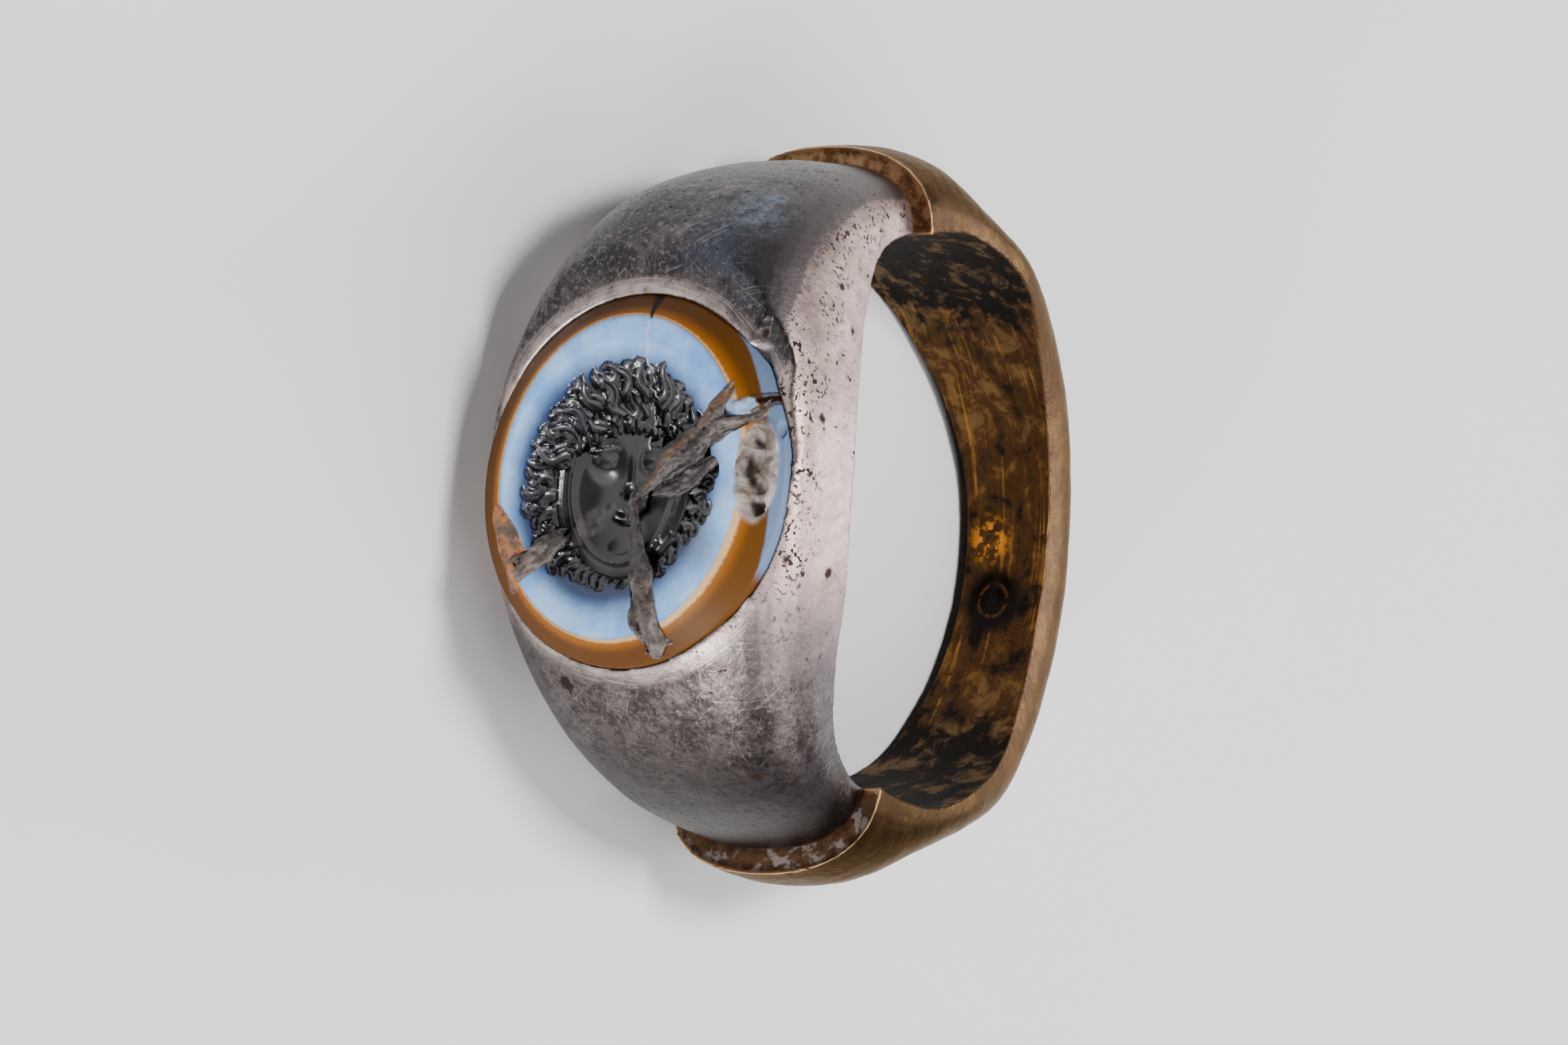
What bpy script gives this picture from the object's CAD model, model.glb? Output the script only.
# %% [markdown]
# # A finger ring with an engraved stone
# This lesson dresses a heavy old ring: a gilt hoop with wide shoulders, a dark
# silver head, and a round banded stone with a curly-haired head cut into it.
# The measured solids come first, and every piece is fitted to them.

# %% Load the measured solids
import math
import random
import bpy
import numpy
from mathutils import Matrix, Vector


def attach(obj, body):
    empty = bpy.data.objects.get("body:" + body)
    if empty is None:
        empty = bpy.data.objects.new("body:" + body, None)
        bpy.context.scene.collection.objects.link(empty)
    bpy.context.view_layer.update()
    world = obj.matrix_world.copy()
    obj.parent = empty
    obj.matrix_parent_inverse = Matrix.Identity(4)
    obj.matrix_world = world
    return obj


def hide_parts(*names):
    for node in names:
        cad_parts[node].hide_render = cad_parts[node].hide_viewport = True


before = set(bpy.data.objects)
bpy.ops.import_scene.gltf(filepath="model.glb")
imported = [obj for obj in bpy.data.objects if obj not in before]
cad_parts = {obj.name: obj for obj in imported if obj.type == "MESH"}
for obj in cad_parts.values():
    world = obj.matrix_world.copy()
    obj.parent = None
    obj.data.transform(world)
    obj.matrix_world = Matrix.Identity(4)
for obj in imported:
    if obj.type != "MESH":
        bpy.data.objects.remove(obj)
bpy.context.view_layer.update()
print("solids:", ", ".join(sorted(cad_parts)))

# %% [markdown]
# ## The bench
# A ring is easier to shape square to the bench than leaning on the floor, and
# in millimetres rather than in metres. So each piece is modelled with X along
# the finger, Y up the stone's face and Z out through the stone, round the
# middle of the finger hole. `TO_FLOOR` then takes it to its place on the floor.
# These few numbers are the ones that the solids were laid down with.

# %% The bench and the way to the floor
MM = 0.001
TILT = math.radians(14.314)
HOLE_MIDDLE = Vector((0.15, 0.53, 4.4533)) * MM
ALONG = Vector((0, math.sin(TILT), math.cos(TILT)))
OUT = Vector((0, -math.cos(TILT), math.sin(TILT)))
UP = Vector((-1, 0, 0))
TURN = Matrix((ALONG, UP, OUT)).transposed()
TO_FLOOR = Matrix.Translation(HOLE_MIDDLE) @ TURN.to_4x4() @ Matrix.Scale(MM, 4)


def pick(*pieces):
    if bpy.context.mode != "OBJECT":
        bpy.ops.object.mode_set(mode="OBJECT")
    bpy.ops.object.select_all(action="DESELECT")
    for piece in pieces:
        piece.select_set(True)
    bpy.context.view_layer.objects.active = pieces[0]


def settle(piece):
    pick(piece)
    bpy.ops.object.transform_apply(location=True, rotation=True, scale=True)
    return piece


def start_edit(choice="SELECT"):
    bpy.ops.object.mode_set(mode="EDIT")
    bpy.ops.mesh.select_all(action=choice)


def end_edit():
    bpy.ops.object.mode_set(mode="OBJECT")


def to_bench(node, name):
    pick(bpy.data.objects[node])
    bpy.ops.object.duplicate()
    piece = bpy.context.object
    piece.name = name
    piece.data.materials.clear()
    piece.parent = None
    piece.matrix_world = TO_FLOOR.inverted()
    settle(piece)
    start_edit()
    bpy.ops.mesh.remove_doubles(threshold=0.0005)
    end_edit()
    bpy.ops.mesh.customdata_custom_splitnormals_clear()
    return piece


def apply_modifiers(piece):
    pick(piece)
    for modifier in list(piece.modifiers):
        bpy.ops.object.modifier_apply(modifier=modifier.name)
    return piece


def remesh(piece, size):
    pick(piece)
    piece.data.remesh_voxel_size = size
    bpy.ops.object.voxel_remesh()


def soften(piece, factor, rounds):
    smooth = piece.modifiers.new("soften", "SMOOTH")
    smooth.factor = factor
    smooth.iterations = rounds


def join(pieces, name):
    pick(*pieces)
    bpy.ops.object.join()
    bpy.context.object.name = name
    return bpy.context.object


def tell(piece):
    faces = sum(len(p.vertices) - 2 for p in piece.data.polygons)
    size = ", ".join(f"{d:.2f}" for d in piece.dimensions)
    print(f"{piece.name}: {faces} triangles, {size}")


# %% [markdown]
# A finish often depends on how a place faces: a filed side is bright, the
# inside of a hoop is dark. `note` writes such a fact on every point of a piece
# while it is still on the bench, and the materials read it by its name. Most
# facts are shares from 0 to 1, which `ease` draws between two measures.

# %% Write a fact on every point
def points_of(piece):
    mesh = piece.data
    places = numpy.empty(len(mesh.vertices) * 3, numpy.float32)
    mesh.vertices.foreach_get("co", places)
    facing = numpy.empty(len(mesh.vertices) * 3, numpy.float32)
    mesh.vertices.foreach_get("normal", facing)
    return places.reshape(-1, 3), facing.reshape(-1, 3)


def note(piece, name, values):
    layer = piece.data.attributes.new(name, "FLOAT", "POINT")
    layer.data.foreach_set("value", numpy.asarray(values, numpy.float32))


def ease(low, high, values):
    share = numpy.clip((values - low) / (high - low), 0, 1)
    return share * share * (3 - 2 * share)


def looking_in(places, facing):
    inward = -(places[:, 1] * facing[:, 1] + places[:, 2] * facing[:, 2])
    return inward / numpy.hypot(places[:, 1], places[:, 2])


def far_from_line(places, line):
    best = numpy.full(len(places), 1e9)
    for i in range(len(line) - 1):
        a = numpy.array(line[i][:2])
        b = numpy.array(line[i + 1][:2])
        step = b - a
        along = numpy.clip((places[:, :2] - a) @ step / (step @ step), 0, 1)
        gap = numpy.linalg.norm(places[:, :2] - a - along[:, None] * step, axis=1)
        width = line[i][2] + (line[i + 1][2] - line[i][2]) * along
        best = numpy.minimum(best, gap / width)
    return best


def near(places, lines, start, full):
    far = numpy.minimum.reduce([far_from_line(places, line) for line in lines])
    return ease(start, full, far)


# %% [markdown]
# ## The silver head
# The head is one heavy casting, filed flat on its sides and rubbed soft by
# wear, with a low lip round the stone. Its measured solid is copied and a
# voxel remesh gives it one even skin, which a slow noise then makes uneven.
# On the near side the lip has worn away below the stone's edge, so a ragged
# cutter takes that part of the wall off first.

# %% Where the stone sits
FIELD_OUT = 12.05
STONE_DOWN = 0.35
LIP_R = 6.42
LIP_WIDE = 0.24
LIP_HIGH = 0.17


def from_stone(places):
    return numpy.hypot(places[:, 0], places[:, 1] + STONE_DOWN)


print("stone's middle:", -STONE_DOWN, FIELD_OUT)

# %% Shape the head
HEAD_VOXEL = 0.112


def group_of(piece, name, weights):
    group = piece.vertex_groups.new(name=name)
    for index in numpy.nonzero(weights > 0.01)[0]:
        group.add([int(index)], float(weights[index]), "REPLACE")
    return name


def uneven(piece, name, size, strength, depth=2, middle=0.5):
    clouds = bpy.data.textures.new(name, "CLOUDS")
    clouds.noise_scale = size
    clouds.noise_depth = depth
    wave = piece.modifiers.new(name, "DISPLACE")
    wave.texture = clouds
    wave.texture_coords = "LOCAL"
    wave.strength = strength
    wave.mid_level = middle


# The worn edge, from the top of the stone down: height up the face, and how
# far out the silver still stands there
WORN_EDGE = [(6.0, 11.7), (5.4, 11.3), (4.7, 11.06), (4.0, 10.92), (3.3, 10.82),
             (2.2, 11.08), (1.2, 10.97), (0.43, 10.92), (-0.84, 10.98), (-1.6, 10.97),
             (-2.65, 11.13), (-3.15, 11.22), (-3.9, 11.6)]


def worn_cutter():
    bpy.ops.mesh.primitive_grid_add(x_subdivisions=8, y_subdivisions=70, size=1)
    cutter = bpy.context.object
    cutter.scale = (4.2, 9.6, 1)
    cutter.location = (5.5, 0.85 - STONE_DOWN, 0)
    settle(cutter)
    edge_y = [-y - STONE_DOWN for y, out in WORN_EDGE]
    edge_out = [out for y, out in WORN_EDGE]
    shake = random.Random(4)
    for point in cutter.data.vertices:
        point.co.z = float(numpy.interp(-point.co.y, edge_y, edge_out))
        point.co.z += shake.uniform(-0.04, 0.04) + 0.6 * max(0, 4.8 - point.co.x)
    start_edit()
    bpy.ops.mesh.extrude_region_move(TRANSFORM_OT_translate={"value": (0, 0, 3)})
    bpy.ops.mesh.select_all(action="SELECT")
    bpy.ops.mesh.normals_make_consistent(inside=False)
    end_edit()
    return cutter


head = to_bench("head", "silver_head")
cutter = worn_cutter()
cut = head.modifiers.new("cut", "BOOLEAN")
cut.operation = "DIFFERENCE"
cut.object = cutter
apply_modifiers(head)
pick(cutter)
bpy.ops.object.delete()
remesh(head, HEAD_VOXEL)
soften(head, 0.5, 3)
apply_modifiers(head)
places, facing = points_of(head)
seat = from_stone(places)
lip = numpy.exp(-((seat - LIP_R) / LIP_WIDE) ** 2) * (places[:, 2] > 10)
lip *= ease(2.6, 5.0, numpy.abs(places[:, 1] + STONE_DOWN)) * ease(4.9, 3.2, places[:, 0])
raise_lip = head.modifiers.new("raise_lip", "DISPLACE")
raise_lip.vertex_group = group_of(head, "lip", lip)
raise_lip.direction = "Z"
raise_lip.mid_level = 0
raise_lip.strength = LIP_HIGH
uneven(head, "hand", 1.6, 0.045)
apply_modifiers(head)
bpy.ops.object.shade_smooth()

# The lip is rubbed in over the stone's edge by a little over 1 % of its radius
places, facing = points_of(head)
seat = from_stone(places)
closing = 1 - 0.014 * ease(6.75, 6.35, seat) * ease(10.6, 11.1, places[:, 2])
shut = numpy.stack((places[:, 0] * closing,
                    (places[:, 1] + STONE_DOWN) * closing - STONE_DOWN, places[:, 2]), 1)
head.data.vertices.foreach_set("co", shut.astype(numpy.float32).ravel())
head.data.update()

# %% Facts for the head
angle = numpy.degrees(numpy.arctan2(numpy.abs(places[:, 1]), places[:, 2]))
note(head, "round", angle / 180)
note(head, "end_line", ease(77.4, 78.0, angle))
turn = numpy.degrees(numpy.arctan2(places[:, 1] + STONE_DOWN, places[:, 0]))
bright = ease(45, 80, turn) * ease(160, 120, turn)
bright = numpy.maximum(bright, ease(-100, -60, turn) * ease(-5, -35, turn))
collar = numpy.maximum(ease(6.95, 6.4, seat) * (0.3 + 0.7 * bright),
                       0.85 * ease(6.56, 6.44, seat))
note(head, "collar", collar * (places[:, 2] > 9.9))
# The wall that wore away beside the stone is as pale as the filed side
worn = ease(4.7, 5.2, places[:, 0]) * ease(-3.9, -3.3, places[:, 1])
worn *= ease(4.6, 2.4, places[:, 1]) * (places[:, 2] > 10.3)
note(head, "worn", worn)
note(head, "side", numpy.abs(facing[:, 0]))
note(head, "inside", ease(0.55, 0.85, looking_in(places, facing)))
tell(head)

# %% [markdown]
# ## The gilt hoop
# The hoop's solid is a loft with two flat ends. The ends are inset and pushed
# in, which leaves the thin bright lip and the gutter that stand round the
# silver. Then it gets its skin in the same way as the head.

# %% Shape the hoop
LIP = 0.27
GUTTER = 0.17
HOOP_VOXEL = 0.1

hoop = to_bench("hoop", "gilt_hoop")
start_edit()
bpy.ops.mesh.dissolve_limited(angle_limit=math.radians(0.05))
bpy.ops.mesh.select_all(action="DESELECT")
end_edit()
ends = sorted(hoop.data.polygons, key=lambda face: -len(face.vertices))[:2]
for end in ends:
    end.select = True
bpy.ops.object.mode_set(mode="EDIT")
bpy.ops.mesh.inset(thickness=LIP, depth=-GUTTER, use_even_offset=True)
end_edit()
remesh(hoop, HOOP_VOXEL)
soften(hoop, 0.5, 2)
# The noise mostly wears the hoop down, so that it stays inside its solid's size
uneven(hoop, "hand", 1.3, 0.06, middle=0.75)
apply_modifiers(hoop)
bpy.ops.object.shade_smooth()

# %% Facts for the hoop
places, facing = points_of(hoop)
inward = looking_in(places, facing)
note(hoop, "inside", ease(0.55, 0.85, inward))
note(hoop, "side", numpy.abs(facing[:, 0]))
angle = numpy.degrees(numpy.arctan2(places[:, 1], places[:, 2]))
end = ease(81, 80, numpy.abs(angle)) * ease(0.3, 0.7, facing[:, 2])
lip = ease(79.3, 78.9, numpy.abs(angle)) * (1 - ease(0.5, 0.8, inward))
lip *= ease(-0.2, 0.2, facing[:, 2])
note(hoop, "lip", lip)
note(hoop, "end", end * (1 - lip))
note(hoop, "round", numpy.abs(angle) / 180)
note(hoop, "low_end", places[:, 1] < 0)
tell(hoop)

# %% [markdown]
# ## The engraved stone
# A seal stone is cut inwards: the carver sinks a head into the flat face with
# small round tools. Here it is done as a plasterer would do it. The head is
# first modelled standing out, as a row of soft forms that hang below a plain
# blank. Then a fine sheet is pushed up against them from below, and what stops
# it first becomes the cut surface. The face is a plain one of the lesson's own.

# %% The blank: a flat field in a sloping edge
FIELD_HALF_WIDE = 4.95
FIELD_HALF_TALL = 5.4
EDGE_R = 6.2
EDGE_DEEP = 0.85


def blank_top():
    bpy.ops.mesh.primitive_circle_add(vertices=160, radius=EDGE_R * 1.03,
                                      location=(0, 0, -EDGE_DEEP * 1.15))
    blank = settle(bpy.context.object)
    start_edit()
    bpy.ops.mesh.extrude_region_move(
        TRANSFORM_OT_translate={"value": (0, 0, EDGE_DEEP * 1.15)})
    bpy.ops.transform.resize(value=(FIELD_HALF_WIDE / EDGE_R / 1.03,
                                    FIELD_HALF_TALL / EDGE_R / 1.03, 1))
    bpy.ops.mesh.edge_face_add()
    end_edit()
    ridge = blank.modifiers.new("ridge", "BEVEL")
    ridge.width = 0.25
    ridge.segments = 5
    ridge.angle_limit = math.radians(15)
    return apply_modifiers(blank)


# %% Soft forms for the face
EYE_ACROSS = 0.92
EYE_UP = 0.6


def ball(across, up, deep, half_across, half_up, half_deep, turn=0):
    bpy.ops.mesh.primitive_uv_sphere_add(segments=40, ring_count=24,
                                         location=(across, up, -deep))
    form = bpy.context.object
    form.scale = (half_across, half_up, half_deep)
    form.rotation_euler = (0, 0, math.radians(turn))
    return settle(form)


def both_sides(across, up, deep, half_across, half_up, half_deep, turn=0):
    return [ball(side * across, up, deep, half_across, half_up, half_deep,
                 side * turn) for side in (-1, 1)]


def press(form, across, up, push, reach):
    pick(form)
    spot = min(form.data.vertices, key=lambda p: (p.co.x - across) ** 2
               + (p.co.y - up) ** 2 + (0 if p.co.z < 0 else 100)).index
    start_edit("DESELECT")
    end_edit()
    form.data.vertices[spot].select = True
    bpy.ops.object.mode_set(mode="EDIT")
    bpy.ops.transform.translate(value=(0, 0, push), use_proportional_edit=True,
                                proportional_edit_falloff="SMOOTH",
                                proportional_size=reach)
    end_edit()


def make_face():
    bpy.ops.mesh.primitive_uv_sphere_add(segments=96, ring_count=64, radius=1)
    egg = bpy.context.object
    egg.scale = (2.15, 2.75, 0.62)
    egg.location = (0, -0.15, -0.08)
    settle(egg)
    for side in (-1, 1):
        press(egg, side * 0.95, 0.6, 0.34, 0.85)
        press(egg, side * 1.2, -0.45, -0.12, 1.0)
        press(egg, side * 1.9, 0.9, 0.15, 0.8)
    # Nose: its back, its tip and its wings
    nose = [ball(0, 0.15, 0.45, 0.2, 1.0, 0.33), ball(0, -0.38, 0.62, 0.3, 0.34, 0.32)]
    nose += both_sides(0.3, -0.46, 0.5, 0.2, 0.2, 0.26)
    # Eyes: the ball, the pupil and the brow over it
    eyes = both_sides(EYE_ACROSS, EYE_UP, 0.34, 0.46, 0.28, 0.28)
    eyes += both_sides(EYE_ACROSS, EYE_UP, 0.55, 0.11, 0.11, 0.1)
    eyes += both_sides(EYE_ACROSS, 0.98, 0.44, 0.78, 0.13, 0.2, -8)
    # The swell round the mouth, and the chin
    mouth = [ball(0, -1.25, 0.3, 0.85, 0.6, 0.38), ball(0, -2.1, 0.26, 0.7, 0.5, 0.32)]
    return [egg] + nose + eyes + mouth


# %% [markdown]
# Lids, lips, the band under the jaw and the hair are made of strands: a strand
# is a short curve with a round section. A lock is three or four strands that
# thin towards the tip, so that the cutter's grooves show between them.

# %% Strands
def strand(line, thick, thin=0.35, widths=None, keep_path=False):
    bpy.ops.curve.primitive_nurbs_path_add()
    path = bpy.context.object
    spline = path.data.splines[0]
    # A new path has five points, so a line needs five or more
    spline.points.add(len(line) - len(spline.points))
    for i, spot in enumerate(line):
        share = i / (len(line) - 1)
        spline.points[i].co = (*spot, 1)
        spline.points[i].radius = widths[i] if widths else 1 - (1 - thin) * share
    spline.order_u = 3
    spline.use_endpoint_u = True
    if keep_path:
        return path
    path.data.bevel_depth = thick
    path.data.bevel_resolution = 2
    path.data.resolution_u = 5
    path.data.use_fill_caps = True
    pick(path)
    bpy.ops.object.convert(target="MESH")
    return bpy.context.object


def lids(side):
    made = []
    for lid, thick in ((0.26, 0.1), (-0.22, 0.075)):
        line = []
        for i in range(7):
            share = i / 3 - 1
            line.append((side * EYE_ACROSS + share * 0.5,
                         EYE_UP + lid * (1 - share * share),
                         -0.5 + 0.08 * share * share))
        made.append(strand(line, thick, 1))
    return made


def lips():
    made = []
    for middle, thick in ((-1.12, 0.13), (-1.38, 0.16)):
        line = [(i * 0.18 - 0.54, middle + 0.012 * (i - 3) ** 2, -0.7 + 0.008 * (i - 3) ** 2)
                for i in range(7)]
        made.append(strand(line, thick, widths=(0.3, 0.7, 0.95, 1, 0.95, 0.7, 0.3)))
    return made


# The band lies round the face's own oval, with a margin
def jaw_band():
    line = []
    for i in range(17):
        turn = math.radians(-112 + 14 * i)
        line.append((2.5 * math.sin(turn), -0.1 - 3.02 * math.cos(turn), -0.36))
    return strand(line, 0.25, 1)


def lock(headings, strands, spread, thick, name):
    made = []
    for k in range(strands):
        place = k / (strands - 1) * 2 - 1
        across, up = 0.0, 0.0
        line = []
        for i, heading in enumerate(headings):
            share = i / (len(headings) - 1)
            turn = math.radians(heading)
            aside = place * spread * (1 - 0.7 * share ** 1.4)
            line.append((across + aside * math.cos(turn), up - aside * math.sin(turn),
                         0.3 * share * share - 0.11 * (1 - abs(place))))
            across += math.sin(turn) / (len(headings) - 1)
            up += math.cos(turn) / (len(headings) - 1)
        made.append(strand(line, thick * (1.2 - 0.35 * abs(place)), 0.35))
    return join(made, name)


def copies(model, places):
    made = []
    for across, up, deep, turn, size, flip in places:
        one = model.copy()
        one.data = model.data.copy()
        bpy.context.collection.objects.link(one)
        one.location = (across, up, -deep)
        one.rotation_euler = (0, 0, math.radians(turn))
        one.scale = (size * flip, size, size)
        made.append(settle(one))
    pick(model)
    bpy.ops.object.delete()
    return made


# %% [markdown]
# The hair stands in rows round the face. Long waves fan out over the brow, and
# rounder curls lie at the sides and under the jaw. Each row is counted out by
# angle, and a seeded shake keeps it from looking like a gear. A lock's headings
# say which way it runs, in degrees, from its root to its tip.

# %% Lay out the hair
shake = random.Random(11)


def row(first, last, count, reach, deep, size, lean):
    spots = []
    for i in range(count):
        turn = first + (last - first) * (i + 0.5) / count
        far = reach + shake.uniform(-0.08, 0.08)
        flip = (1 if turn % 360 < 180 else -1) * (-1 if shake.random() < 0.25 else 1)
        angle = math.radians(turn)
        spots.append((far * math.sin(angle) - 0.1, 0.1 + far * math.cos(angle),
                      deep + shake.uniform(-0.05, 0.05),
                      -turn + lean * flip + shake.uniform(-14, 14),
                      size * shake.uniform(0.82, 1.2), flip))
    return spots


WAVE = (-35, -15, 15, 40, 45, 20, -20, -60)
SWAY = (-5, -35, -30, 10, 50, 65, 40, -10)
HOOK = (-30, -10, 15, 45, 80, 115, 150, 180)


def make_hair():
    forms = [ball(-0.15, 0.05, 0, 3.75, 3.75, 0.46),
             ball(-0.2, -0.15, -0.6, 6.3, 6.4, 0.9)]
    waves = row(-90, 90, 17, 2.6, 0.42, 1.4, 10) + row(-72, 72, 11, 1.95, 0.56, 1.25, 16)
    hooks = row(-48, 48, 9, 1.6, 0.64, 0.8, 20) + row(-84, 84, 21, 3.2, 0.34, 0.8, 35)
    hooks += row(90, 150, 6, 2.95, 0.4, 1.15, 20) + row(-150, -90, 6, 2.95, 0.4, 1.15, 20)
    hooks += row(84, 156, 9, 3.3, 0.3, 1.0, 30) + row(-156, -84, 9, 3.3, 0.3, 1.0, 30)
    hooks += row(150, 210, 11, 3.2, 0.28, 0.85, 30)
    return (forms + copies(lock(WAVE, 4, 0.24, 0.115, "wave_lock"), waves[::2])
            + copies(lock(SWAY, 3, 0.19, 0.125, "sway_lock"), waves[1::2])
            + copies(lock(HOOK, 4, 0.24, 0.115, "hook_lock"), hooks))


# %% [markdown]
# The stone has broken and been mended. A rough scoop is gone from the sloping
# edge on the right, and one long break runs down through the head. Each line
# is walked by eye: across, up and half its width there.

# %% Breaks and chips in the stone
LONG_BREAK = [(0.75, -0.6, 0.12), (1.4, 0.1, 0.34), (2.2, 0.7, 0.56), (3.0, 1.2, 0.54),
              (3.7, 1.5, 0.38), (4.4, 1.75, 0.28), (5.1, 2.05, 0.22), (5.45, 2.5, 0.14)]
LOW_BREAK = [(0.65, -0.9, 0.12), (0.75, -1.7, 0.2), (0.95, -2.5, 0.36), (1.15, -3.3, 0.46),
             (1.4, -4.2, 0.47), (1.65, -4.9, 0.5), (1.85, -5.3, 0.6), (1.95, -5.6, 0.62)]
LEFT_BREAK = [(-5.05, -1.3, 0.4), (-4.6, -1.9, 0.5), (-4.1, -2.7, 0.55),
              (-4.2, -3.6, 0.3)]
CHEEK_BREAK = [(-2.2, -2.0, 0.32), (-2.5, -2.13, 0.36), (-2.8, -2.3, 0.4),
               (-3.4, -2.75, 0.44), (-3.9, -3.1, 0.38)]
FACE_BREAK = [(0.8, -0.4, 0.26), (0.6, -0.58, 0.32), (0.44, -0.78, 0.34),
              (0.34, -0.98, 0.3), (0.25, -1.25, 0.22)]
CHEEK_CHIP = [(-0.75, -1.0, 0.24), (-1.25, -1.4, 0.44), (-1.85, -1.85, 0.36)]
SIDE_BREAK = [(3.9, 0.7, 0.16), (3.2, 0.35, 0.3), (2.4, -0.1, 0.42), (2.0, -0.25, 0.38),
              (1.6, -0.35, 0.3)]
UPPER_BREAK = [(3.3, 1.7, 0.22), (3.55, 1.95, 0.28), (3.75, 2.2, 0.32), (4.1, 2.7, 0.26),
               (4.25, 3.0, 0.12)]
RUST_LINE = [(1.0, -0.35, 0.12), (1.9, 0.55, 0.14), (3.0, 1.6, 0.14), (4.0, 2.7, 0.3)]
BLUE_CHIP = [(3.9, 1.9, 0.25), (4.45, 2.15, 0.36), (4.85, 2.4, 0.3)]
HAIRLINE = [(0.66, 5.2, 0.025), (0.6, 4.8, 0.03), (0.68, 4.4, 0.03), (0.64, 4.0, 0.035),
            (0.74, 3.4, 0.035), (0.78, 2.4, 0.02), (0.7, 1.0, 0.02)]
TOP_WEDGE = [(0.45, 6.15, 0.2), (0.56, 5.8, 0.12), (0.7, 5.3, 0.04)]
SIDE_WEDGE = [(5.1, 2.6, 0.1), (5.4, 2.68, 0.14), (5.8, 2.8, 0.1)]
EDGE_CRACKS = [[(4.85, 2.76, 0.045), (5.2, 2.85, 0.04), (6.15, 3.06, 0.04)],
               [(5.13, 2.25, 0.04), (5.7, 2.6, 0.04), (6.28, 2.78, 0.04)]]


def slope_drop(across, up):
    far = math.hypot(across, up)
    ridge = far / max(math.hypot(across / FIELD_HALF_WIDE, up / FIELD_HALF_TALL), 1e-6)
    return EDGE_DEEP * max(0.0, (far - ridge) / (EDGE_R - ridge))


def trench(line, deep):
    spots = [(across, up, -deep) for across, up, half in line]
    return strand(spots, 1, 1, [half * 0.88 for across, up, half in line])


def scoops():
    forms = [ball(5.35, 1.25, 0.3, 0.42, 0.5, 0.45, 10),
             ball(5.3, 0.55, 0.3, 0.5, 0.6, 0.55, -8),
             ball(5.42, -0.15, 0.38, 0.46, 0.55, 0.5, 6),
             ball(5.4, -0.8, 0.4, 0.34, 0.45, 0.48),
             ball(5.95, 1.75, 0.75, 0.16, 0.35, 0.3)]
    return forms + [trench(line, 0.1) for line in (LONG_BREAK, LOW_BREAK, CHEEK_BREAK)]


# %% Push the sheet up against the forms
SHEET_CELLS = 284


def fine_sheet():
    bpy.ops.mesh.primitive_circle_add(vertices=SHEET_CELLS * 4, radius=EDGE_R,
                                      location=(0, 0, -4))
    sheet = settle(bpy.context.object)
    start_edit()
    bpy.ops.mesh.fill_grid(span=SHEET_CELLS)
    end_edit()
    return sheet


forms = [blank_top()] + make_face() + lids(-1) + lids(1) + lips() + [jaw_band()]
forms += make_hair() + scoops()
relief = join(forms, "relief")
tell(relief)
stone = fine_sheet()
stone.name = "engraved_stone"
press_up = stone.modifiers.new("press_up", "SHRINKWRAP")
press_up.target = relief
press_up.wrap_method = "PROJECT"
press_up.use_project_z = True
press_up.use_positive_direction = True
press_up.use_negative_direction = False
soften(stone, 0.35, 1)
apply_modifiers(stone)

# %% Roughen the chips
places, facing = points_of(stone)
scooped = ease(1.15, 0.9, numpy.hypot((places[:, 0] - 5.36) / 0.62,
                                      (places[:, 1] - 0.25) / 1.62))
blue_chip = near(places, [BLUE_CHIP], 1.1, 0.8)
patched = near(places, [LEFT_BREAK], 1.1, 0.9)
cheek = near(places, [CHEEK_CHIP], 1.15, 0.8)
chipped = numpy.maximum.reduce([scooped, cheek * 0.3, blue_chip * 0.7, patched * 0.5])
for size, strength in ((0.7, 0.42), (0.3, 0.14)):
    uneven(stone, f"chipped_{size}", size, strength, 0)
    stone.modifiers[-1].vertex_group = group_of(stone, f"chipped_{size}", chipped)
apply_modifiers(stone)
pick(relief)
bpy.ops.object.delete()
pick(stone)

# %% [markdown]
# The colours of such a stone lie in flat layers: pale blue over black, with a
# honey band in the slope of the edge. So the places that the carver cut deep
# turn black by themselves. The sheet's own depth is written down for that,
# and so are its breaks, its stain and how far down the edge each point lies.

# %% Facts for the stone's colours
places, facing = points_of(stone)
far = numpy.hypot(places[:, 0], places[:, 1])
reach = numpy.hypot(places[:, 0] / FIELD_HALF_WIDE, places[:, 1] / FIELD_HALF_TALL)
ridge_r = far / numpy.maximum(reach, 1e-6)
down_edge = numpy.clip((far - ridge_r) / (EDGE_R - ridge_r), -1, 1)
cut = -places[:, 2] * (down_edge < 0.02)
note(stone, "cut", cut)
# How far a point stands above its neighbourhood: the sharp ribs between grooves
pairs = numpy.array([edge.vertices for edge in stone.data.edges])
level = places[:, 2].astype(float)
count = numpy.bincount(pairs.ravel(), minlength=len(level)) + 1.0
for _ in range(4):
    level = (level + numpy.bincount(pairs[:, 0], level[pairs[:, 1]], len(level))
             + numpy.bincount(pairs[:, 1], level[pairs[:, 0]], len(level))) / count
brow = numpy.hypot(places[:, 0] / 2.3, (places[:, 1] + 0.15) / 2.9)
note(stone, "hair", ease(1.0, 1.15, numpy.where(places[:, 1] > 1.5, 2.0, brow)))
note(stone, "rib", (places[:, 2] - level) / 0.03)
note(stone, "edge", down_edge)
note(stone, "chip", scooped)
note(stone, "cheek", cheek)
note(stone, "blue_chip", blue_chip)
note(stone, "patch", patched)
note(stone, "crack", near(places, [HAIRLINE], 1.4, 0.6))
note(stone, "dark_crack", near(places, EDGE_CRACKS, 1.4, 0.6))
note(stone, "dark_top", near(places, [TOP_WEDGE, SIDE_WEDGE], 1.3, 0.7))
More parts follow.
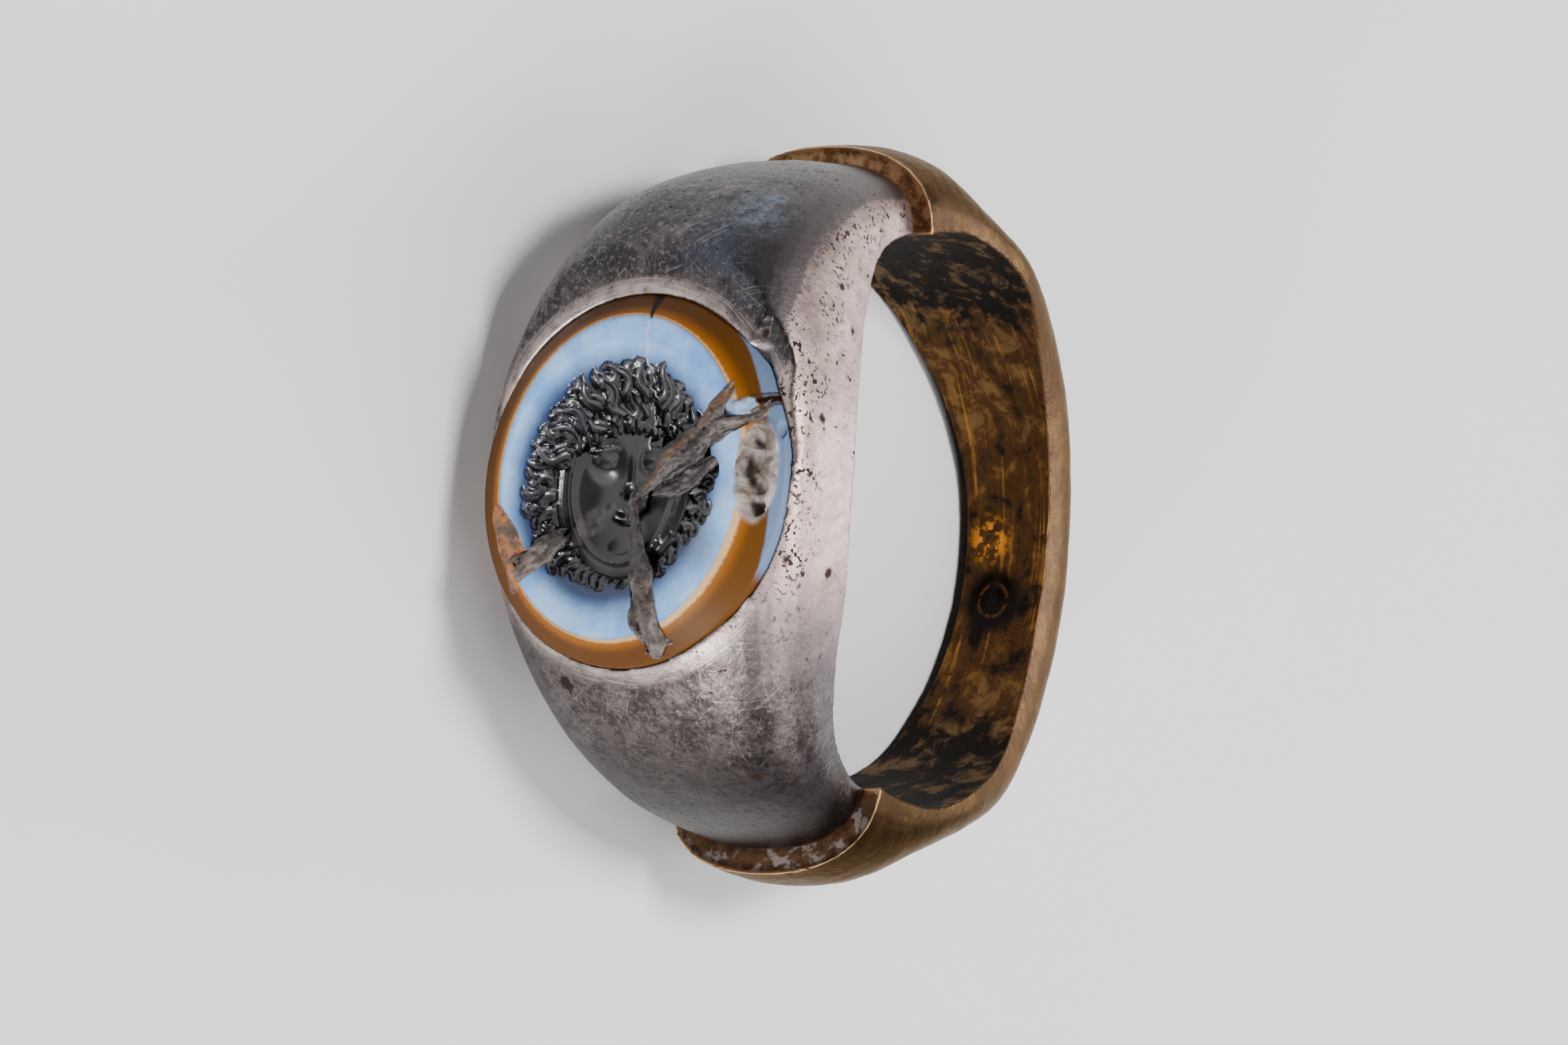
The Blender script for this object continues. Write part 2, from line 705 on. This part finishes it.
note(stone, "rubbed", ease(0.2, 0.9, (places[:, 0] - 0.6 * places[:, 1]) / 6.5))
turn = numpy.degrees(numpy.arctan2(places[:, 1], places[:, 0]))
note(stone, "girdle", numpy.clip(1 - ((turn - 12) / 46) ** 2, 0, 1) ** 1.3)
stain = numpy.hypot((places[:, 0] - 3.7) / 1.0, (places[:, 1] + 2.4) / 1.3)
note(stone, "stain", ease(1.0, 0.2, stain))
print("sheet depth:", float(places[:, 2].min()), float(places[:, 2].max()))

# %% The stone's side and back
GIRDLE_R = 6.22
STONE_BACK = -2.57
CUT_DEEP = 0.12

start_edit("DESELECT")
bpy.ops.mesh.select_non_manifold()
bpy.ops.mesh.extrude_edges_move(
    TRANSFORM_OT_translate={"value": (0, 0, -0.15)})
bpy.ops.transform.resize(value=(GIRDLE_R / EDGE_R, GIRDLE_R / EDGE_R, 1))
bpy.ops.mesh.extrude_edges_move(TRANSFORM_OT_translate={"value": (0, 0, -1)})
end_edit()
rim = [p for p in stone.data.vertices if p.select]
for point in rim:
    point.co.z = STONE_BACK
bpy.ops.object.mode_set(mode="EDIT")
bpy.ops.mesh.edge_face_add()
bpy.ops.mesh.select_all(action="SELECT")
bpy.ops.mesh.normals_make_consistent(inside=False)
end_edit()
bpy.ops.object.shade_smooth_by_angle(angle=math.radians(50))
# Which finish each point takes: 0 polished field, 1 sloping edge, 2 cut or broken
finish = numpy.ones(len(stone.data.vertices), int)
finish[:len(cut)] = numpy.where((cut > CUT_DEEP) | (chipped > 0.3), 2, down_edge > 0)
face_finish = [int(finish[list(face.vertices)].min()) for face in stone.data.polygons]
tell(stone)

# %% [markdown]
# ## What fills the breaks
# The breaks are filled with something dull and crusty that stands a little
# above the cut. A tube along a curve would look like a cord. So each filling
# starts as a straight flat log, is roughened by two sizes of noise, thinned to
# the planes that a broken crust has, and then bent along its break by a curve.

# %% Fill the breaks
LOG_VOXEL = 0.06
CRUST_VOXEL = 0.034


def crust(line, deep, name, squat=0.5):
    spots = []
    for across, up, half in line:
        sink = deep * (1 - 0.85 * ease(3.4, 4.8, math.hypot(across, up)))
        spots.append((across, up, -sink - slope_drop(across, up)))
    length = sum(math.dist(spots[i], spots[i + 1]) for i in range(len(spots) - 1))
    grow = 2.5 * sum(half for across, up, half in line) / len(line)
    bpy.ops.mesh.primitive_cylinder_add(vertices=64, radius=1, depth=length / grow)
    ribbon = bpy.context.object
    ribbon.name = name
    ribbon.scale = (squat, 1, 1)
    settle(ribbon)
    remesh(ribbon, LOG_VOXEL)
    uneven(ribbon, "ledges", 0.9, 0.85, 0)
    uneven(ribbon, "lumps", 0.35, 0.2, 0)
    planes = ribbon.modifiers.new("planes", "DECIMATE")
    planes.ratio = 0.08
    apply_modifiers(ribbon)
    ribbon.rotation_euler = (0, math.radians(90), 0)
    ribbon.scale = (1, 1, grow)
    ribbon.location = (length / 2, 0, 0)
    settle(ribbon)
    path = strand(spots, 0, 1, [half for across, up, half in line], keep_path=True)
    bend = ribbon.modifiers.new("bend", "CURVE")
    bend.object = path
    apply_modifiers(ribbon)
    pick(path)
    bpy.ops.object.delete()
    remesh(ribbon, CRUST_VOXEL)
    uneven(ribbon, "grit", 0.14, 0.04, 1)
    apply_modifiers(ribbon)
    bpy.ops.object.shade_smooth()
    return ribbon


fills = [(LONG_BREAK, 0.22), (LOW_BREAK, 0.2), (SIDE_BREAK, 0.34), (FACE_BREAK, 0.5),
         (CHEEK_BREAK, 0.18), (UPPER_BREAK, 0.04)]
long_fill = join([crust(line, deep, "fill") for line, deep in fills], "break_fill")
places, facing = points_of(long_fill)
note(long_fill, "rust", near(places, [RUST_LINE], 1.3, 0.5))
note(long_fill, "outer", ease(3.2, 4.2, numpy.hypot(places[:, 0], places[:, 1])))
tell(long_fill)

# %% [markdown]
# ## Metals and stone
# Every finish reads its place in bench millimetres. A Mapping node of the
# texture kind turns the floor's axes back into the bench's. All helpers add to
# the `tree` of the recipe that was started last: `wire` puts in a node, feeds
# it and hands back one of its outputs as a `Wire`. Wires are added and
# multiplied like numbers, so that a recipe reads as a sum.

# %% Count with wires
class Wire:
    def __init__(self, socket):
        self.socket = socket

    def __add__(self, other):
        return calculate("ADD", self, other)

    def __radd__(self, other):
        return calculate("ADD", other, self)

    def __sub__(self, other):
        return calculate("SUBTRACT", self, other)

    def __rsub__(self, other):
        return calculate("SUBTRACT", other, self)

    def __mul__(self, other):
        return calculate("MULTIPLY", self, other)

    def __truediv__(self, other):
        return calculate("DIVIDE", self, other)

    def __abs__(self):
        return calculate("ABSOLUTE", self, 0.0)


def feed(socket, value):
    if isinstance(value, Wire):
        tree.links.new(value.socket, socket)
    else:
        socket.default_value = value


def wire(kind, inputs, output=0, **settings):
    node = tree.nodes.new("ShaderNode" + kind)
    for key, value in settings.items():
        setattr(node, key, value)
    for key, value in inputs.items():
        feed(node.inputs[key], value)
    return Wire(node.outputs[output])


def calculate(operation, first, second):
    return wire("Math", {0: first, 1: second}, operation=operation)


def most(first, second):
    return calculate("MAXIMUM", first, second)


# %% Helpers for recipes
def start_recipe(name):
    material = bpy.data.materials.new(name)
    material.use_nodes = True
    return material, material.node_tree, material.node_tree.nodes["Principled BSDF"]


def bench_place():
    there = wire("TexCoord", {}, "Object")
    return wire("Mapping", {0: there, 1: HOLE_MIDDLE, 2: TURN.to_euler("XYZ"), 3: (MM, MM, MM)},
                vector_type="TEXTURE")


def grain(place, scale, detail=4.0, rough=0.55, bend=0.0):
    return wire("TexNoise", {"Vector": place, "Scale": scale, "Detail": detail,
                             "Roughness": rough, "Distortion": bend})


def between(value, low, high):
    return wire("MapRange", {0: value, 1: low, 2: high}, interpolation_type="SMOOTHSTEP")


def distance(place, spot):
    return wire("VectorMath", {0: place, 1: spot}, output=1, operation="DISTANCE")


def fact(name):
    return wire("Attribute", {}, "Fac", attribute_name=name)


def colour(red, green, blue):
    parts = [c / 255 for c in (red, green, blue)]
    return tuple(c / 12.92 if c < 0.04 else ((c + 0.055) / 1.055) ** 2.4
                 for c in parts) + (1,)


def mix(share, first, second):
    return wire("Mix", {0: share, 6: first, 7: second}, 2, data_type="RGBA")


def bumps(height, strength, high, under=None):
    inputs = {"Height": height, "Strength": strength, "Distance": high * MM}
    if under is not None:
        inputs["Normal"] = under
    return wire("Bump", inputs)


# %% [markdown]
# The silver is two finishes in one. The domed front has a blue-grey skin of
# tarnish, mottled and dull. The filed flat sides are pale and a little pink,
# scratched every way and pitted with brown. Where they meet, the border is
# crisp, so it follows the way the surface faces and noise only frays it.

# %% Silver
def scratches(place, toward, long=0.3, thin=16.0, low=0.66):
    aim = Vector(toward).to_track_quat("X", "Z").to_euler()
    lines = wire("Mapping", {0: place, 2: aim, 3: (1 / long, 1 / thin, 1 / thin)},
                 vector_type="TEXTURE")
    return between(grain(lines, 1.0, 2.0, 0.4), low, low + 0.06)


silver, tree, look = start_recipe("worn_silver")
place = bench_place()
across = wire("SeparateXYZ", {0: place})
height = wire("SeparateXYZ", {0: place}, 1)
cloud = grain(place, 0.45, 5.0, 0.6)
speckle = grain(place, 5.0, 6.0, 0.7)

# The filed side's border moves outwards towards the top, and ends low down
fray = fact("side") + (speckle - 0.5) * 0.16
border = wire("MapRange", {0: height, 1: 3.4, 2: 6.4, 3: 0.6, 4: 0.87})
filed = between(fray - border, -0.03, 0.03) * between(height + cloud * 1.5, -5.0, -2.2)
filed = most(filed, between(fact("worn") + (speckle - 0.5), 0.3, 0.8))

# %% Silver: the tarnish above and below, and the pale filed side
tarnish = mix(between(cloud, 0.38, 0.6), colour(80, 76, 75), colour(44, 45, 50))
tarnish = mix(between(grain(place, 1.4, 6.0, 0.7), 0.45, 0.6), tarnish, colour(54, 50, 51))
tarnish = mix(between(speckle, 0.5, 0.7), tarnish, colour(112, 105, 103))
low_skin = mix(between(grain(place, 1.1, 6.0, 0.7), 0.4, 0.6), colour(88, 80, 80),
               colour(56, 49, 49))
low_skin = mix(between(speckle, 0.5, 0.7), low_skin, colour(110, 101, 99))
low_skin = mix(between(speckle, 0.46, 0.32), low_skin, colour(46, 38, 36))
tarnish = mix(between(height, 0.0, -7.0), tarnish, low_skin)
pale = mix(between(grain(place, 1.2, 6.0, 0.65), 0.3, 0.7), colour(192, 168, 162),
           colour(156, 134, 129))

# %% Silver: scratches
# The dome is rolled out flat for them, so that they follow its curve
HALF_ROUND = 31.4

dome_place = wire("CombineXYZ", {0: across, 1: fact("round") * HALF_ROUND, 2: 0.0})
lines = scratches(dome_place, (1, 0.2, 0))
for toward in ((0.3, 1, 0), (-0.7, 1, 0), (1, -0.5, 0), (1, 0.7, 0), (-0.1, 1, 0)):
    lines = most(lines, scratches(dome_place, toward))
side_lines = scratches(place, (0, 0.5, 1))
for toward in ((0, 1, 0.25), (0, -0.7, 1)):
    side_lines = most(side_lines, scratches(place, toward))
facing_side = between(fact("side"), 0.7, 0.85)
lines = side_lines * facing_side + lines * (1.0 - facing_side)
pale = mix(lines * 0.6, pale, colour(124, 104, 100))

# %% Silver: the blue stain near the top, and bright marks
off_blue = distance(place, (3.2, 7.4, 9.8))
blue = between(off_blue, 3.6, 1.0) * between(cloud, 0.4, 0.6)
tarnish = mix(blue * 0.5, tarnish, colour(76, 82, 96))
off_pale = distance(place, (3.5, 8.8, 9.5))
pale_blue = between(off_pale, 1.7, 0.4) * between(grain(place, 1.6, 5.0, 0.7), 0.38, 0.6)
tarnish = mix(pale_blue * 0.85, tarnish, colour(120, 138, 152))
some = between(grain(place, 0.8, 4.0, 0.6), 0.42, 0.58) * 0.4
lines = lines * (some + 0.12)
tarnish = mix(lines, tarnish, colour(142, 134, 132))
sparks = between(grain(place, 13.0, 1.0, 0.5), 0.72, 0.76)
tarnish = mix(sparks * 0.7, tarnish, colour(170, 160, 156))

# %% Silver: the collar, rubbed bright in rings round the stone
ring_place = wire("CombineXYZ", {0: fact("collar") * 9.0, 1: across * 0.3, 2: height * 0.3})
rings = between(grain(ring_place, 2.0, 4.0, 0.6), 0.5, 0.62)
rings = rings * between(fact("collar"), 0.0, 0.3)
tarnish = mix(rings * 0.6, tarnish, colour(178, 164, 158))
collar = fact("collar") * between(grain(place, 1.5, 5.0, 0.65), 0.25, 0.6)
tarnish = mix(collar * 0.65, tarnish, colour(198, 182, 176))

# %% Silver: pits and stains
# Small pits crowd the outer half of the filed side; the large stains are single
flat_place = wire("VectorMath", {0: place, 1: (0, 1, 1)}, operation="MULTIPLY")
from_hole = wire("VectorMath", {0: flat_place}, 1, operation="LENGTH")
pit_where = between(from_hole, 9.4, 10.4) * between(grain(place, 0.8, 3.0, 0.6), 0.4, 0.56)
fine_pits = between(grain(place, 6.0, 2.0, 0.5), 0.55, 0.61) * pit_where
some_pits = between(grain(place, 2.4, 3.0, 0.55), 0.67, 0.7)
pits = most(fine_pits, some_pits) * (0.3 + filed * 0.7)
dome_pits = between(grain(place, 4.2, 2.0, 0.5), 0.68, 0.72)
pits = most(pits, dome_pits * 0.7)
STAINS = [((4.7, 4.6, 11.0), 0.17), ((5.7, 5.2, 7.6), 0.19), ((6.5, 1.9, 9.9), 0.21),
          ((6.0, -2.8, 10.5), 0.22), ((6.3, -3.0, 8.5), 0.22), ((3.2, -9.6, 7.2), 0.27),
          ((-2.6, -7.0, 10.4), 0.34), ((5.4, 6.6, 8.0), 0.17)]
ragged = grain(place, 2.6, 3.0, 0.6) * 2.2
for where, wide in STAINS:
    off = distance(place, where) / wide + ragged
    pits = most(pits, between(off, 2.3, 1.5))

# %% Silver: the low end, and all of it together
# Below the filed side the same surface runs on, smooth and half dark
low_side = between(fact("side"), 0.2, 0.8) * between(height, -8.5, -3.5)
half_dark = mix(speckle, colour(138, 128, 128), colour(116, 106, 105))
tarnish = mix(low_side * 0.75, tarnish, half_dark)
tarnish = mix(between(height, -7.6, -10.6) * 0.88, tarnish, colour(34, 28, 27))
skin = mix(filed, tarnish, pale)
skin = mix(pits * 0.92, skin, colour(44, 31, 25))
skin = mix(fact("inside"), skin, colour(74, 66, 62))
skin = mix(fact("end_line") * 0.7, skin, colour(150, 98, 62))
feed(look.inputs["Base Color"], skin)
look.inputs["Metallic"].default_value = 1.0
feed(look.inputs["Roughness"], speckle * 0.2 + 0.25 + pits * 0.4 + low_side * 0.12)
coarse = bumps(cloud, 0.5, 0.12)
fine = bumps(speckle, 0.6, 0.03, coarse)
feed(look.inputs["Normal"], bumps(lines + pits * 2.0, -0.7, 0.02, fine))
print(silver.name, len(tree.nodes), "nodes")

# %% [markdown]
# The gilding is thin and rubbed. Outside it is a pale tan with violet-grey
# spots. Inside, out of reach of a cloth, it is nearly black at the corners and
# brown between them, with gold showing in streaks that run round the hoop.

# %% Gilt metal: the outside
gilt, tree, look = start_recipe("rubbed_gilt")
place = bench_place()
wide = wire("SeparateXYZ", {0: place})
height = wire("SeparateXYZ", {0: place}, 1)
cloud = grain(place, 0.6, 5.0, 0.62)
speckle = grain(place, 4.5, 6.0, 0.7)
outer = mix(between(cloud, 0.38, 0.6), colour(76, 56, 36), colour(36, 26, 17))
outer = mix(fact("side") * 0.5, outer, colour(86, 67, 50))
spots = between(grain(place, 1.3, 5.0, 0.7), 0.5, 0.6) * between(speckle, 0.35, 0.6)
outer = mix(spots * 0.85, outer, colour(62, 48, 44))
outer = mix(between(height, -7.0, -11.0) * 0.92, outer, colour(32, 21, 12))

# %% Gilt metal: the inside, with streaks that run round it
round_way = fact("round") * 5.0
streaks = grain(wire("CombineXYZ", {0: wide, 1: round_way, 2: 0.0}), 1.6, 6.0, 0.7)
blotches = grain(place, 0.8, 6.0, 0.7, 0.4)
dark_corner = between(fact("round"), 0.76, 0.6)
dark_corner = most(dark_corner, fact("low_end") * between(fact("round"), 0.85, 0.7))
patina = streaks * 0.35 + blotches * 0.65 - dark_corner * 0.28
brown = mix(between(patina, 0.38, 0.5), colour(12, 7, 4), colour(76, 50, 24))
brown = mix(between(patina, 0.5, 0.62), brown, colour(120, 86, 46))
tan = between(blotches, 0.5, 0.62) * between(fact("round"), 0.92, 0.8)
brown = mix(tan * 0.6, brown, colour(116, 90, 60))
fine_place = wire("CombineXYZ", {0: wide * 4.0, 1: round_way, 2: 4.0})
fine_streaks = grain(fine_place, 1.3, 5.0, 0.6)
flecks = between(fine_streaks, 0.54, 0.68) * between(patina, 0.42, 0.54)
brown = mix(flecks * 0.8, brown, colour(168, 116, 52))

# %% Gilt metal: a glow of bare gold, and a small struck ring
off_glow = distance(place, (-0.7, 0.9, -9.6))
glow = between(off_glow, 1.1, 0.2) * between(grain(place, 2.6, 4.0, 0.6), 0.48, 0.58)
brown = mix(glow, brown, colour(244, 150, 40))
off_mark = distance(place, (-0.3, -1.2, -9.6)) + speckle * 0.12
brown = mix(between(off_mark, 1.5, 0.9), brown, colour(14, 8, 4))
mark_line = between(abs(off_mark - 0.64), 0.09, 0.03) * between(speckle, 0.4, 0.6)
brown = mix(mark_line, brown, colour(84, 54, 26))

# %% Gilt metal: gutter and lip at the ends, and all of it together
gutter = mix(between(grain(place, 2.0, 5.0, 0.65), 0.4, 0.6), colour(110, 76, 50),
             colour(182, 138, 100))
residue = fact("low_end") * between(grain(place, 1.4, 5.0, 0.7), 0.5, 0.6)
gutter = mix(fact("low_end") * 0.9, gutter, colour(40, 27, 17))
gutter = mix(residue, gutter, colour(112, 102, 98))
inner = fact("inside")
skin = mix(fact("end"), mix(inner, outer, brown), gutter)
lip = mix(fact("low_end") * 0.6, colour(232, 186, 136), colour(140, 100, 62))
skin = mix(fact("lip"), skin, lip)
feed(look.inputs["Base Color"], skin)
# Dirt and old patina are no longer metal
dirt = most(fact("end") * 0.9, inner * (1.0 - between(patina, 0.42, 0.6)))
dirt = most(dirt, fact("lip") * 0.5)
feed(look.inputs["Metallic"], 1.0 - dirt)
look.inputs["Specular IOR Level"].default_value = 0.14
look.inputs["Specular Tint"].default_value = (0.8, 0.68, 0.56, 1)
feed(look.inputs["Roughness"], speckle * 0.25 + 0.24 + inner * 0.12 + dirt * 0.2)
feed(look.inputs["Normal"], bumps(speckle, 0.5, 0.03, bumps(cloud, 0.5, 0.14)))
print(gilt.name, len(tree.nodes), "nodes")

# %% [markdown]
# The stone's colour is laid on by depth, as its layers lie: pale blue on top,
# black where the carver went deep, and honey down the slope. The field keeps
# its polish, and what is cut, worn or broken is duller.

# %% Banded stone: the field and the engraving
banded, tree, look = start_recipe("banded_stone")
place = bench_place()
mist = grain(place, 0.5, 4.0, 0.55)
speckle = grain(place, 9.0, 5.0, 0.7)
cut = fact("cut") + (mist - 0.5) * 0.03
field = mix(between(mist, 0.35, 0.7), colour(140, 180, 221), colour(90, 143, 207))
deep_blue = mix(between(cut, 0.01, 0.13), field, colour(24, 42, 78))
black = mix(between(mist, 0.3, 0.7), colour(14, 14, 15), colour(34, 32, 34))
strands = mix(between(fact("rib"), 0.25, -0.8), colour(7, 7, 9), colour(66, 64, 70))
black = mix(fact("hair"), black, strands)
black = mix(fact("cheek") * between(grain(place, 2.2, 5.0, 0.65), 0.4, 0.6), black,
            colour(62, 57, 56))
face_colour = mix(between(cut, 0.1, 0.2), deep_blue, black)

# %% Banded stone: the honey band, its rubbed ridge and the clear girdle
edge = fact("edge")
edge_wave = edge + (mist - 0.5) * 0.15
honey = mix(between(edge_wave, 0.05, 0.55), colour(134, 79, 20), colour(76, 46, 14))
past_band = edge_wave - (1.06 - fact("girdle") * 0.38)
honey = mix(between(past_band, -0.06, 0.02), honey, colour(84, 102, 128))
rubbed = between(abs(edge - 0.06) + speckle * 0.16 - fact("rubbed") * 0.1, 0.16, 0.06)
honey = mix(rubbed * 0.7, honey, colour(196, 164, 122))
skin = mix(between(edge, -0.02, 0.02), face_colour, honey)

# %% Banded stone: chips, patch, stain and cracks
lump = grain(place, 1.3, 4.0, 0.55)
rock = mix(between(lump, 0.4, 0.62), colour(134, 124, 118), colour(88, 74, 64))
skin = mix(fact("chip"), skin, rock)
blue_rock = mix(between(lump, 0.4, 0.6), colour(128, 152, 178), colour(86, 78, 74))
skin = mix(fact("blue_chip"), skin, blue_rock)
rust = mix(between(grain(place, 1.6, 6.0, 0.7), 0.4, 0.6), colour(154, 96, 52),
           colour(72, 55, 43))
skin = mix(fact("patch"), skin, rust)
skin = mix(fact("stain") * 0.45, skin, colour(104, 112, 92))
crack = fact("crack") * between(grain(place, 4.0, 3.0, 0.6), 0.36, 0.5)
skin = mix(crack, skin, colour(196, 186, 176))
skin = mix(fact("dark_top"), skin, colour(30, 12, 4))
skin = mix(fact("dark_crack"), skin, colour(52, 38, 26))
feed(look.inputs["Base Color"], skin)

# %% Banded stone: polish
dull = speckle * 0.1 + 0.16
dull += between(edge, 0.0, 0.1) * (1.0 - fact("chip")) * 0.2
dull += most(fact("hair"), fact("cheek")) * between(cut, 0.08, 0.15) * 0.06
dull += most(between(cut, 0.1, 0.2) - fact("hair"), 0.0) * 0.1
dull += fact("patch") * 0.35
dull += most(fact("chip"), fact("blue_chip")) * 0.22
feed(look.inputs["Roughness"], dull)
look.inputs["Specular IOR Level"].default_value = 0.4
rough_places = most(fact("chip") * 0.35, most(fact("patch"), fact("blue_chip")))
broken_bump = bumps(grain(place, 3.0, 6.0, 0.7), rough_places * 0.9, 0.15)
feed(look.inputs["Normal"], bumps(speckle, 0.2, 0.008, broken_bump))
print(banded.name, len(tree.nodes), "nodes")

# The sloping edge has lost its polish, so it is the same recipe with less shine
matt_edge = banded.copy()
matt_edge.name = "banded_stone_edge"
matt_edge.node_tree.nodes["Principled BSDF"].inputs["Specular IOR Level"].default_value = 0.07

# What is cut or broken shines in points rather than as a sheet
sunk = banded.copy()
sunk.name = "banded_stone_cut"
sunk.node_tree.nodes["Principled BSDF"].inputs["Specular IOR Level"].default_value = 0.52

# %% [markdown]
# The crust in the breaks is the dullest thing on the ring: grey-brown, with
# rust in its hollows.

# %% Crust
crust_look, tree, look = start_recipe("break_crust")
place = bench_place()
lump = grain(place, 2.2, 6.0, 0.68)
dust = grain(place, 11.0, 4.0, 0.7)
skin = mix(between(lump, 0.4, 0.64), colour(22, 18, 17), colour(54, 46, 44))
paler = mix(between(lump, 0.36, 0.6), colour(36, 29, 25), colour(82, 71, 65))
skin = mix(fact("outer"), skin, paler)
rusty = fact("rust") * between(lump, 0.62, 0.44)
skin = mix(rusty * 0.8, skin, colour(82, 52, 34))
skin = mix(between(dust, 0.6, 0.75) * 0.5, skin, colour(142, 132, 128))
feed(look.inputs["Base Color"], skin)
look.inputs["Roughness"].default_value = 0.58
feed(look.inputs["Normal"], bumps(lump, 0.3, 0.04, bumps(dust, 0.25, 0.01)))
print(crust_look.name, len(tree.nodes), "nodes")

# %% [markdown]
# ## Put together
# Each piece is laid down on the floor, told which solid it stands for, and
# given its finish. The stone takes three, by the finish of each face.

# %% Lay the pieces down
STONE_SPOT = Matrix.Translation((0, -STONE_DOWN, FIELD_OUT))


def finish_piece(piece, material, node=None, spot=Matrix()):
    piece.matrix_world = TO_FLOOR @ spot
    settle(piece)
    piece.data.materials.clear()
    piece.data.materials.append(material)
    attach(piece, "root")
    if node:
        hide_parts(node)
    tell(piece)


finish_piece(head, silver, "head")
finish_piece(hoop, gilt, "hoop")
finish_piece(stone, banded, "stone", STONE_SPOT)
stone.data.materials.append(matt_edge)
stone.data.materials.append(sunk)
for face, kind in zip(stone.data.polygons, face_finish):
    face.material_index = kind
finish_piece(long_fill, crust_look, spot=STONE_SPOT)

# %% [markdown]
# ## Floor, light and camera
# The ring lies on a plain pale floor. A lamp overhead makes the flat side
# shine and lets the front fall into tone. A weak one at the right draws the
# rims, a large soft one beside the camera fills the shadows, and a small low
# one lights the front and the lip below the stone.

# %% Floor
bpy.ops.mesh.primitive_plane_add(size=1.6)
floor = bpy.context.object
floor.name = "floor"
ground, tree, look = start_recipe("pale_floor")
place = wire("TexCoord", {}, "Object")
tone = mix(grain(place, 40.0), (0.52, 0.52, 0.52, 1), (0.56, 0.56, 0.56, 1))
feed(look.inputs["Base Color"], tone)
look.inputs["Roughness"].default_value = 0.7
floor.data.materials.append(ground)

# %% Lights
def soft_light(name, spot, size, power):
    bpy.ops.object.light_add(type="AREA", location=spot)
    lamp = bpy.context.object
    lamp.name = name
    lamp.data.size = size
    lamp.data.energy = power
    toward = HOLE_MIDDLE - Vector(spot)
    lamp.rotation_euler = toward.to_track_quat("-Z", "Y").to_euler()


soft_light("overhead", (-0.06, 0.02, 0.4), 0.1, 2.6)
soft_light("right", (-0.05, 0.36, 0.16), 0.16, 1.1)
soft_light("side", (0.22, 0.13, 0.29), 0.34, 1.9)
soft_light("lower", (0.33, -0.27, 0.085), 0.09, 2.8)
world = bpy.data.worlds.new("studio")
world.use_nodes = True
sky = world.node_tree.nodes["Background"].inputs
sky["Color"].default_value = (0.8, 0.81, 0.83, 1)
sky["Strength"].default_value = 0.07
bpy.context.scene.world = world
print(len(bpy.data.lights), "lights")

# %% Camera
TOWARD_SIDE = math.radians(37.334)
TOWARD_TOP = math.radians(-6.954)
ROLL = math.radians(5.45)
CAMERA_FAR = 0.5
PIXELS_PER_MM = 44.8
IMAGE_WIDE = 2353
SENSOR_WIDE = 36
OFF_MIDDLE = 1.761 * MM

view = Vector((math.sin(TOWARD_SIDE) * math.cos(TOWARD_TOP), math.sin(TOWARD_TOP),
               math.cos(TOWARD_SIDE) * math.cos(TOWARD_TOP)))
upright = Vector((0, 1, 0))
upright = (upright - view * upright.dot(view)).normalized()
# Outwards, along and up are a right-handed set, so right is upright x view
right = upright.cross(view)
turned = right * math.cos(ROLL) + upright * math.sin(ROLL)
upright = upright * math.cos(ROLL) - right * math.sin(ROLL)
right, upright, view = TURN @ turned, TURN @ upright, TURN @ view
spot = HOLE_MIDDLE + view * CAMERA_FAR - right * OFF_MIDDLE
bpy.ops.object.camera_add()
camera = bpy.context.object
axes = Matrix((right, upright, view)).transposed().to_4x4()
camera.matrix_world = Matrix.Translation(spot) @ axes
camera.data.sensor_width = SENSOR_WIDE
camera.data.lens = PIXELS_PER_MM * CAMERA_FAR / MM / IMAGE_WIDE * SENSOR_WIDE
camera.data.clip_start = 0.01
camera.data.clip_end = 10
bpy.context.scene.camera = camera
print("camera:", [round(c, 4) for c in spot], round(camera.data.lens, 1))
